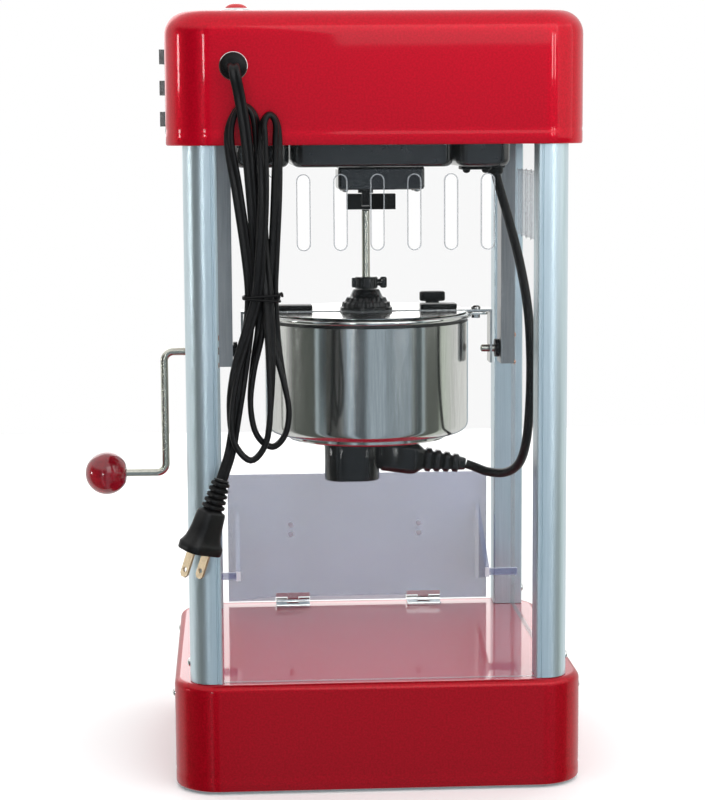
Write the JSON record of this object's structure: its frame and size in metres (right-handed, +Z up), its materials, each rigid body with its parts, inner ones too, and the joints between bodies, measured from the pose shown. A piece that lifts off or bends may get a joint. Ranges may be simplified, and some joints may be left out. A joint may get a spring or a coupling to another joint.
{
  "type": "tabletop popcorn maker",
  "caption": "Tabletop popcorn cabinet with a red base and cap, aluminium posts, clear walls, a tilting steel kettle with a crank, a hopper door and a hanked mains lead.",
  "frame": {"origin": "On the ground, below the middle of the base: the centre of the four feet.", "axes": "+Z up; -Y is the front, with the hopper door; +Y is the rear, with the mains lead; +X is the side with the crank and the switches."},
  "size_m": [0.313, 0.262, 0.4834],
  "materials": {
    "base_shell": "gloss",
    "bottom_plate": "satin",
    "rear_panel": "clear",
    "side_panel_left": "clear",
    "side_panel_right": "clear",
    "cap_shell": "gloss",
    "ceiling_plate": "satin",
    "ceiling_pan": "gloss",
    "gearbox": "gloss",
    "motor": "satin",
    "drive_tongue": "matte",
    "hanger_left": "satin",
    "hanger_right": "satin",
    "pivot_bush_left": "matte",
    "pivot_bush_right": "matte",
    "kettle_shell": "polished",
    "kettle_bridge": "satin",
    "hub_housing": "matte",
    "hub_nut": "matte",
    "heater_cover": "satin",
    "heater_socket": "matte",
    "heater_connector": "matte",
    "crank_rod": "satin",
    "crank_knob": "gloss",
    "pivot_pin": "satin",
    "front_lid": "polished",
    "rear_lid": "polished",
    "lid_handle": "matte",
    "agitator_shaft": "satin",
    "drive_dog": "matte",
    "clamp_collar": "matte",
    "stirrer": "satin",
    "front_door": "clear",
    "door_hinge_left": "polished",
    "door_hinge_right": "polished",
    "door_leaf_left": "polished",
    "door_leaf_right": "polished",
    "switch_frame": "matte",
    "pilot_bezel": "polished",
    "pilot_lens": "gloss",
    "cord_gland": "matte",
    "mains_lead": "satin",
    "mains_hank": "satin",
    "cord_tie": "matte",
    "mains_tail": "satin",
    "plug_body": "satin",
    "plug_blade_left": "polished",
    "plug_blade_right": "polished",
    "kettle_cord": "matte",
    "post_front_left": "satin",
    "foot_front_left": "matte",
    "post_front_right": "satin",
    "foot_front_right": "matte",
    "post_rear_left": "satin",
    "foot_rear_left": "matte",
    "post_rear_right": "satin",
    "foot_rear_right": "matte",
    "rocker_1": "gloss",
    "rocker_2": "gloss",
    "rocker_3": "gloss"
  },
  "bodies": {
    "housing": {"base_shell": "base_shell", "bottom_plate": "bottom_plate", "rear_panel": "rear_panel", "side_panel_left": "side_panel_left", "side_panel_right": "side_panel_right", "cap_shell": "cap_shell", "ceiling_plate": "ceiling_plate", "ceiling_pan": "ceiling_pan", "gearbox": "gearbox", "motor": "motor", "hanger_left": "hanger_left", "hanger_right": "hanger_right", "pivot_bush_left": "pivot_bush_left", "pivot_bush_right": "pivot_bush_right", "door_hinge_left": "door_hinge_left", "door_hinge_right": "door_hinge_right", "switch_frame": "switch_frame", "pilot_bezel": "pilot_bezel", "pilot_lens": "pilot_lens", "cord_gland": "cord_gland", "mains_lead": "mains_lead", "mains_hank": "mains_hank", "cord_tie": "cord_tie", "mains_tail": "mains_tail", "plug_body": "plug_body", "plug_blade_left": "plug_blade_left", "plug_blade_right": "plug_blade_right", "kettle_cord": "kettle_cord", "post_front_left": "post_front_left", "foot_front_left": "foot_front_left", "post_front_right": "post_front_right", "foot_front_right": "foot_front_right", "post_rear_left": "post_rear_left", "foot_rear_left": "foot_rear_left", "post_rear_right": "post_rear_right", "foot_rear_right": "foot_rear_right"},
    "kettle": {"kettle_shell": "kettle_shell", "kettle_bridge": "kettle_bridge", "hub_housing": "hub_housing", "hub_nut": "hub_nut", "heater_cover": "heater_cover", "heater_socket": "heater_socket", "heater_connector": "heater_connector", "crank_rod": "crank_rod", "crank_knob": "crank_knob", "pivot_pin": "pivot_pin"},
    "agitator": {"agitator_shaft": "agitator_shaft", "drive_dog": "drive_dog", "clamp_collar": "clamp_collar", "stirrer": "stirrer"},
    "drive": {"drive_tongue": "drive_tongue"},
    "front_lid": {"front_lid": "front_lid", "lid_handle": "lid_handle"},
    "rear_lid": {"rear_lid": "rear_lid"},
    "door": {"front_door": "front_door", "door_leaf_left": "door_leaf_left", "door_leaf_right": "door_leaf_right"},
    "rocker_1": {"rocker_1": "rocker_1"},
    "rocker_2": {"rocker_2": "rocker_2"},
    "rocker_3": {"rocker_3": "rocker_3"}
  },
  "joints": [
    {"name": "kettle_tilt", "type": "hinge", "parent": "housing", "child": "kettle", "pos_m": [0, 0, 0.2635], "axis": [1, 0, 0], "range_deg": [0, 100]},
    {"name": "agitator_spin", "type": "hinge", "parent": "kettle", "child": "agitator", "pos_m": [0, 0, 0.3], "axis": [0, 0, 1], "continuous": true},
    {"name": "motor_output_spin", "type": "hinge", "parent": "housing", "child": "drive", "pos_m": [0, 0, 0.3663], "axis": [0, 0, 1], "continuous": true},
    {"name": "front_lid_hinge", "type": "hinge", "parent": "kettle", "child": "front_lid", "pos_m": [0, -0.0088, 0.2893], "axis": [-1, 0, 0], "range_deg": [0, 70]},
    {"name": "rear_lid_hinge", "type": "hinge", "parent": "kettle", "child": "rear_lid", "pos_m": [0, 0.0088, 0.2893], "axis": [1, 0, 0], "range_deg": [0, 70]},
    {"name": "door_hinge", "type": "hinge", "parent": "housing", "child": "door", "pos_m": [0, -0.108, 0.0717], "axis": [1, 0, 0], "range_deg": [0, 44]},
    {"name": "rocker_1_switch", "type": "hinge", "parent": "housing", "child": "rocker_1", "pos_m": [0.123, 0.03, 0.4532], "axis": [0, 0, 1], "range_deg": [0, 12]},
    {"name": "rocker_2_switch", "type": "hinge", "parent": "housing", "child": "rocker_2", "pos_m": [0.123, 0.03, 0.4338], "axis": [0, 0, 1], "range_deg": [0, 12]},
    {"name": "rocker_3_switch", "type": "hinge", "parent": "housing", "child": "rocker_3", "pos_m": [0.123, 0.03, 0.4144], "axis": [0, 0, 1], "range_deg": [0, 12]}
  ],
  "couplings": [
    {"joint": "motor_output_spin", "follows": "agitator_spin", "ratio": 1}
  ]
}
